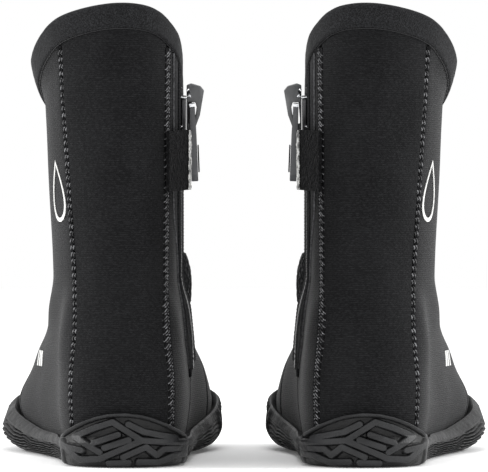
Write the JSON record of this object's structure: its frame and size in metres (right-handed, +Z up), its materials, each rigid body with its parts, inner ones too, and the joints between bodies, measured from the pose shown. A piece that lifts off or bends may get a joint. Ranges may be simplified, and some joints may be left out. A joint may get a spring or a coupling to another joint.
{
  "type": "neoprene boots",
  "caption": "Pair of ankle-high neoprene water boots with moulded rubber soles, side zips, fold-over keeper tabs and lattice ankle pads.",
  "frame": {"origin": "bottom centre of the pair's box, on the floor midway between the two boots", "axes": "+X towards the right boot's outer side, +Y from heels to toes, +Z up"},
  "size_m": [0.2844, 0.2898, 0.2517],
  "materials": {
    "sole_rubber": "satin vulcanised",
    "bumper_rubber": "satin",
    "neoprene": "plush knit laminate",
    "stretch_neoprene": "knit laminate",
    "binding": "matt woven",
    "thread": "matt",
    "foam": "matt foam",
    "footbed": "matt",
    "print": "matt print",
    "zip_tape": "woven",
    "zip_plastic": "satin",
    "slider": "satin",
    "crown": "satin",
    "pull": "satin",
    "hook_loop": "fuzzy"
  },
  "bodies": {
    "left_boot": {"left_outsole": "sole_rubber", "left_heel_counter": "sole_rubber", "left_toe_cap": "bumper_rubber", "left_midsole": "foam", "left_insole": "footbed", "left_rear_panel": "neoprene", "left_lateral_panel": "stretch_neoprene", "left_medial_rear_panel": "neoprene", "left_medial_front_panel": "stretch_neoprene", "left_vamp": "stretch_neoprene", "left_collar_binding": "binding", "left_seam_lateral": "thread", "left_seam_medial": "thread", "left_emblem": "print", "left_side_print": "print", "left_ankle_guard": "bumper_rubber", "left_zip_gusset": "zip_tape", "left_zip_tape_rear": "zip_tape", "left_zip_tape_front": "zip_tape", "left_zip_teeth_rear": "zip_plastic", "left_zip_teeth_front": "zip_plastic", "left_zip_top_stop_rear": "zip_plastic", "left_zip_top_stop_front": "zip_plastic", "left_zip_bottom_stop": "zip_plastic", "left_keeper_base": "hook_loop"},
    "left_slider": {"left_slider_body": "slider", "left_slider_bridge": "crown"},
    "left_pull": {"left_pull_tab": "pull", "left_pull_pad": "hook_loop"},
    "left_keeper": {"left_keeper_tab": "hook_loop"},
    "right_boot": {"right_outsole": "sole_rubber", "right_heel_counter": "sole_rubber", "right_toe_cap": "bumper_rubber", "right_midsole": "foam", "right_insole": "footbed", "right_rear_panel": "neoprene", "right_lateral_panel": "stretch_neoprene", "right_medial_rear_panel": "neoprene", "right_medial_front_panel": "stretch_neoprene", "right_vamp": "stretch_neoprene", "right_collar_binding": "binding", "right_seam_lateral": "thread", "right_seam_medial": "thread", "right_emblem": "print", "right_side_print": "print", "right_ankle_guard": "bumper_rubber", "right_zip_gusset": "zip_tape", "right_zip_tape_rear": "zip_tape", "right_zip_tape_front": "zip_tape", "right_zip_teeth_rear": "zip_plastic", "right_zip_teeth_front": "zip_plastic", "right_zip_top_stop_rear": "zip_plastic", "right_zip_top_stop_front": "zip_plastic", "right_zip_bottom_stop": "zip_plastic", "right_keeper_base": "hook_loop"},
    "right_slider": {"right_slider_body": "slider", "right_slider_bridge": "crown"},
    "right_pull": {"right_pull_tab": "pull", "right_pull_pad": "hook_loop"},
    "right_keeper": {"right_keeper_tab": "hook_loop"}
  },
  "joints": [
    {"name": "left_zip_slide", "type": "slide", "parent": "left_boot", "child": "left_slider", "axis": [-0.0058, 0.0984, -0.9951], "range_m": [0, 0.072]},
    {"name": "left_pull_swing", "type": "hinge", "parent": "left_slider", "child": "left_pull", "pos_m": [-0.0288, -0.08, 0.19744], "axis": [0.0015, -0.9951, -0.0984], "range_deg": [-3, 157]},
    {"name": "left_keeper_fold", "type": "hinge", "parent": "left_boot", "child": "left_keeper", "pos_m": [-0.04162, -0.11859, 0.16592], "axis": [-0.0079, 0.067, -0.9977], "range_deg": [-3, 100]},
    {"name": "right_zip_slide", "type": "slide", "parent": "right_boot", "child": "right_slider", "axis": [0.0058, 0.0984, -0.9951], "range_m": [0, 0.072]},
    {"name": "right_pull_swing", "type": "hinge", "parent": "right_slider", "child": "right_pull", "pos_m": [0.0288, -0.08, 0.19744], "axis": [0.0015, 0.9951, 0.0984], "range_deg": [-3, 157]},
    {"name": "right_keeper_fold", "type": "hinge", "parent": "right_boot", "child": "right_keeper", "pos_m": [0.04162, -0.11859, 0.16592], "axis": [-0.0079, -0.067, 0.9977], "range_deg": [-3, 100]},
    {"name": "right_boot_lift", "type": "slide", "parent": "left_boot", "child": "right_boot", "axis": [0, 0, 1], "range_m": [0, 0.12]}
  ]
}
